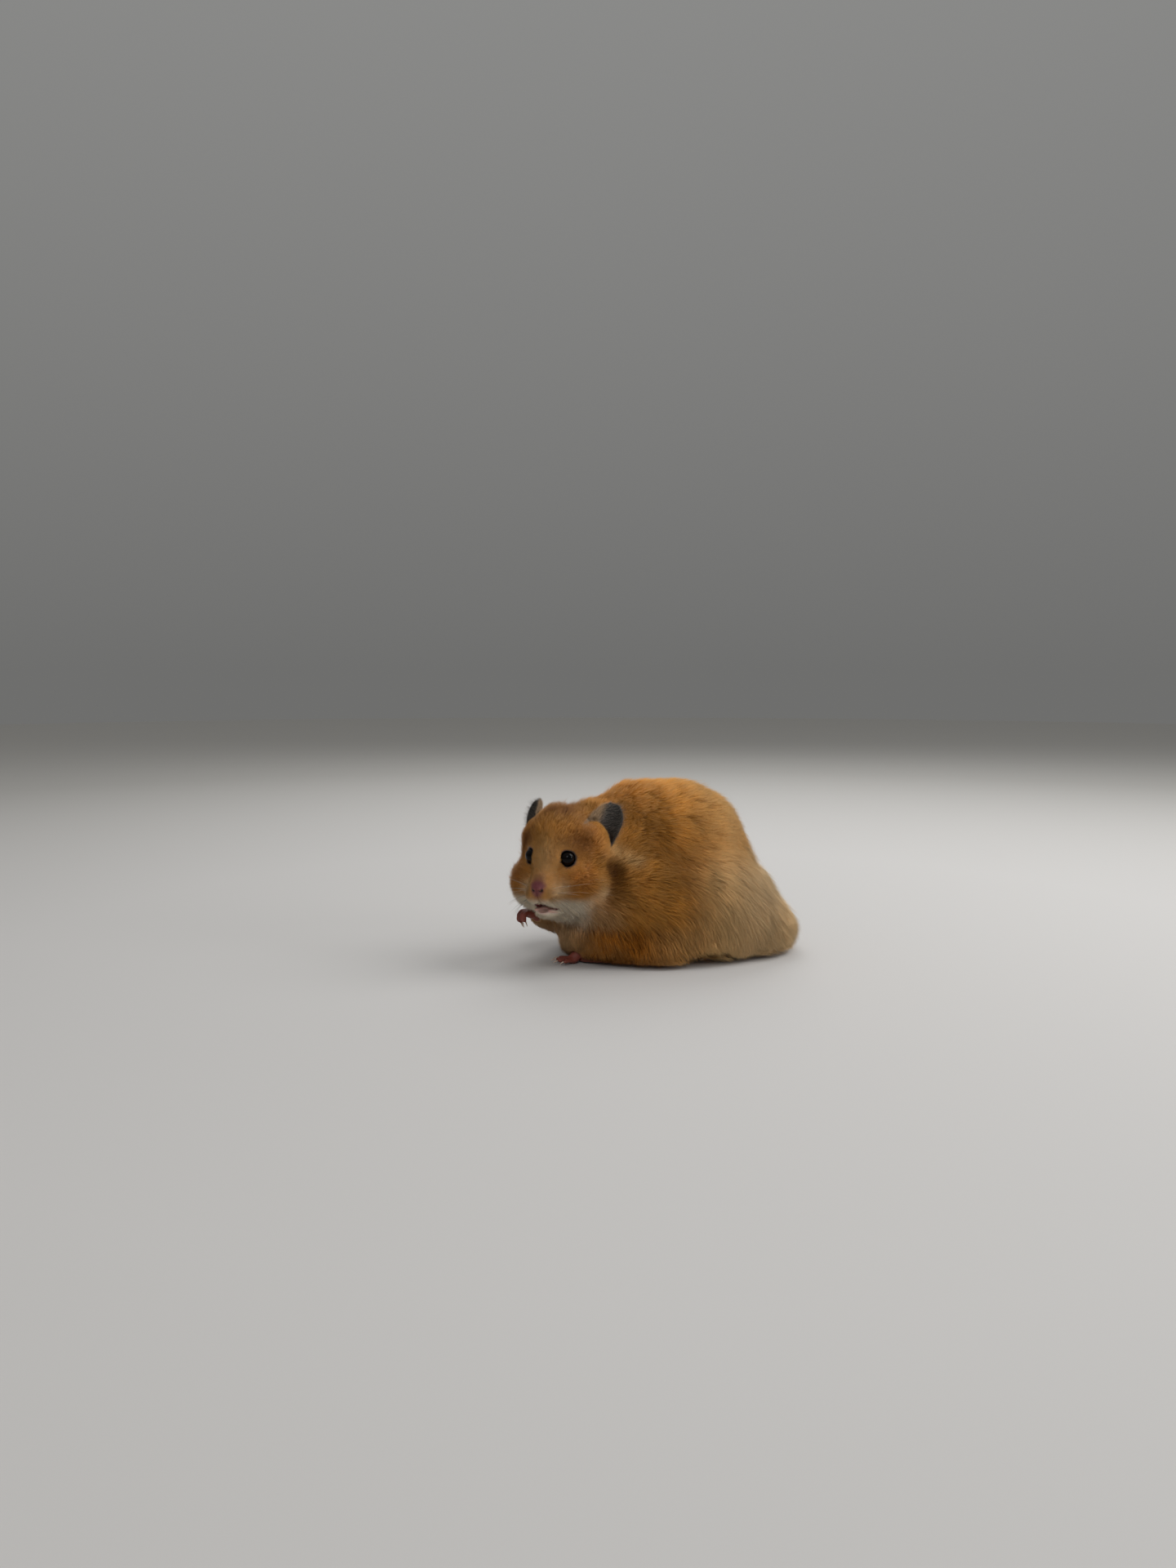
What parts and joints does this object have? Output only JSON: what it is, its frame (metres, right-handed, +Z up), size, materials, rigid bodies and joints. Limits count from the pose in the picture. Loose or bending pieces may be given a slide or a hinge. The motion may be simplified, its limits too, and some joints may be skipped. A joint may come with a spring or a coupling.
{
  "type": "long-haired Syrian hamster figure",
  "caption": "Life-size still model of a long-haired golden Syrian hamster, crouching with its head turned and one forepaw lifted, for museum or scene display.",
  "frame": {"origin": "middle of the whole animal's box, on the plane it stands on", "axes": "+Z up, the trunk faces -Y, the animal's left side is at +X"},
  "size_m": [0.0736, 0.1322, 0.0768],
  "materials": {
    "coat": "long silky golden-orange hair, paler and creamy on the chin, flank and rump",
    "ear_skin": "thin dark grey skin with sparse fine hairs and a paler rim",
    "eye": "wet, glossy, near black",
    "bare_skin": "bare pink skin, fine creases, slightly moist",
    "claw": "translucent pale horn"
  },
  "bodies": {
    "root": {"head": "coat", "neck": "coat", "trunk": "coat", "tail": "coat", "foreleg_left": "coat", "foreleg_right": "coat", "hindleg_left": "coat", "hindleg_right": "coat", "ear_left": "ear_skin", "ear_right": "ear_skin", "eye_left": "eye", "eye_right": "eye", "nose": "bare_skin", "forepaw_left": "bare_skin", "claw_forepaw_left_1": "claw", "claw_forepaw_left_2": "claw", "claw_forepaw_left_3": "claw", "claw_forepaw_left_4": "claw", "forepaw_right": "bare_skin", "claw_forepaw_right_1": "claw", "claw_forepaw_right_2": "claw", "claw_forepaw_right_3": "claw", "claw_forepaw_right_4": "claw", "hindfoot_left": "bare_skin", "claw_hindfoot_left_1": "claw", "claw_hindfoot_left_2": "claw", "claw_hindfoot_left_3": "claw", "claw_hindfoot_left_4": "claw", "claw_hindfoot_left_5": "claw", "hindfoot_right": "bare_skin", "claw_hindfoot_right_1": "claw", "claw_hindfoot_right_2": "claw", "claw_hindfoot_right_3": "claw", "claw_hindfoot_right_4": "claw", "claw_hindfoot_right_5": "claw"}
  },
  "joints": []
}
